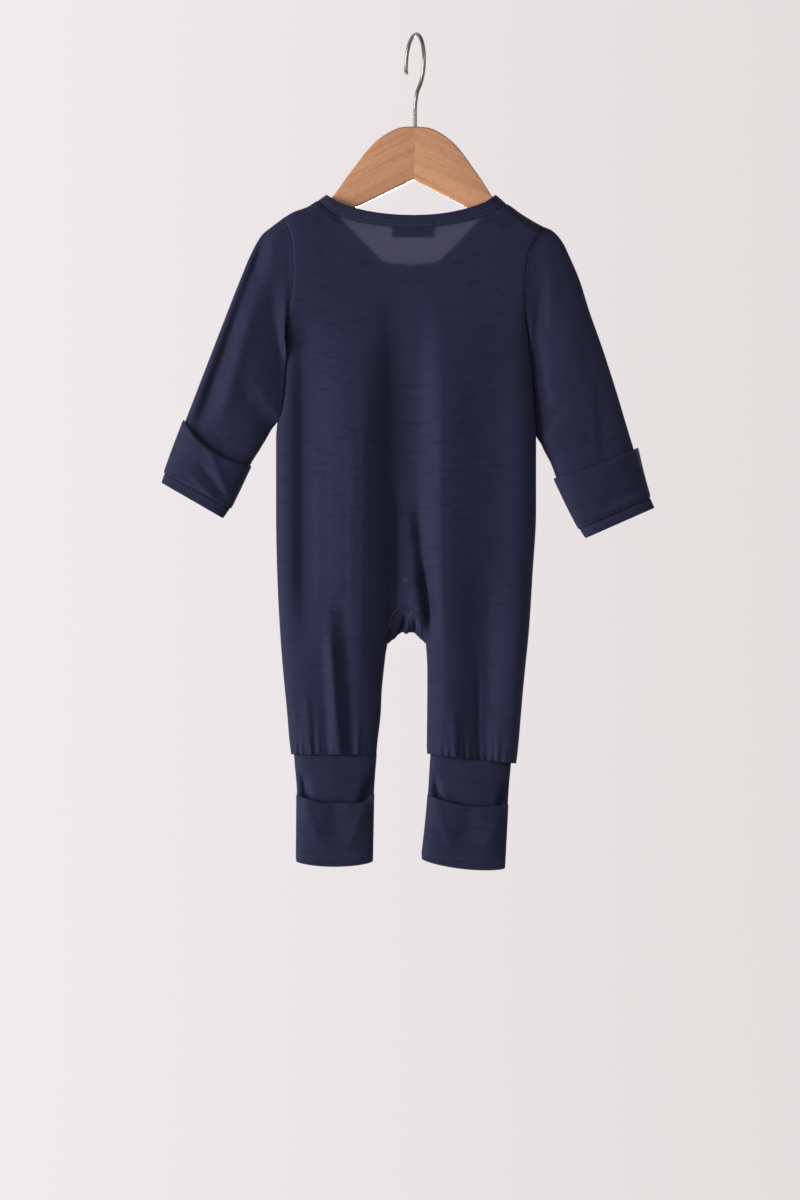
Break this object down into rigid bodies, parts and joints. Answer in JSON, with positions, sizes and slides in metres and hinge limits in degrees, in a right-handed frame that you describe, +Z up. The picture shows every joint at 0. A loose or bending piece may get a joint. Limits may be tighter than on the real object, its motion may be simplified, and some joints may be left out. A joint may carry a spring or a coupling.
{
  "type": "onesie pajama on a hanger",
  "caption": "Long-sleeved baby onesie of thin navy jersey with fold-over mitten and foot flaps and a front zip, hanging flat on a wooden hanger with a wire hook.",
  "frame": {"origin": "the point under the top of the hanger's hook where it bears on the rod or peg that carries it", "axes": "+Z up, +X to the right as seen from the garment's back, -Y towards the viewer of its back, so that the front with the zip faces +Y"},
  "size_m": [0.4298, 0.0507, 0.7268],
  "materials": {
    "navy_jersey": "thin smooth knit with a soft sheen",
    "navy_binding": "doubled smooth knit, stitched down",
    "woven_label": "blank satin label",
    "zip_tape": "close twill tape",
    "zip_plastic": "moulded teeth",
    "zip_metal": "enamelled",
    "pale_beech": "clear satin varnish",
    "satin_steel": "satin wire"
  },
  "bodies": {
    "garment": {"back_panel": "navy_jersey", "front_left": "navy_jersey", "front_right": "navy_jersey", "crotch_gusset": "navy_jersey", "sleeve_left": "navy_jersey", "sleeve_right": "navy_jersey", "mitten_flap_left": "navy_jersey", "mitten_flap_right": "navy_jersey", "ankle_cuff_left": "navy_jersey", "ankle_cuff_right": "navy_jersey", "foot_flap_left": "navy_jersey", "foot_flap_right": "navy_jersey", "neckband": "navy_binding", "sleeve_band_left": "navy_binding", "sleeve_band_right": "navy_binding", "neck_label": "woven_label", "zip_tape_left": "zip_tape", "zip_tape_right": "zip_tape", "zip_chain": "zip_plastic", "zip_slider": "zip_metal", "hanger_arm_left": "pale_beech", "hanger_arm_right": "pale_beech", "hanger_hook": "satin_steel"},
    "pull_tab": {"zip_pull": "zip_metal"}
  },
  "joints": [
    {"name": "pull_swing", "type": "hinge", "parent": "garment", "child": "pull_tab", "pos_m": [-0.00399, 0.01606, -0.222], "axis": [1, 0, 0], "range_deg": [0, 170]}
  ]
}
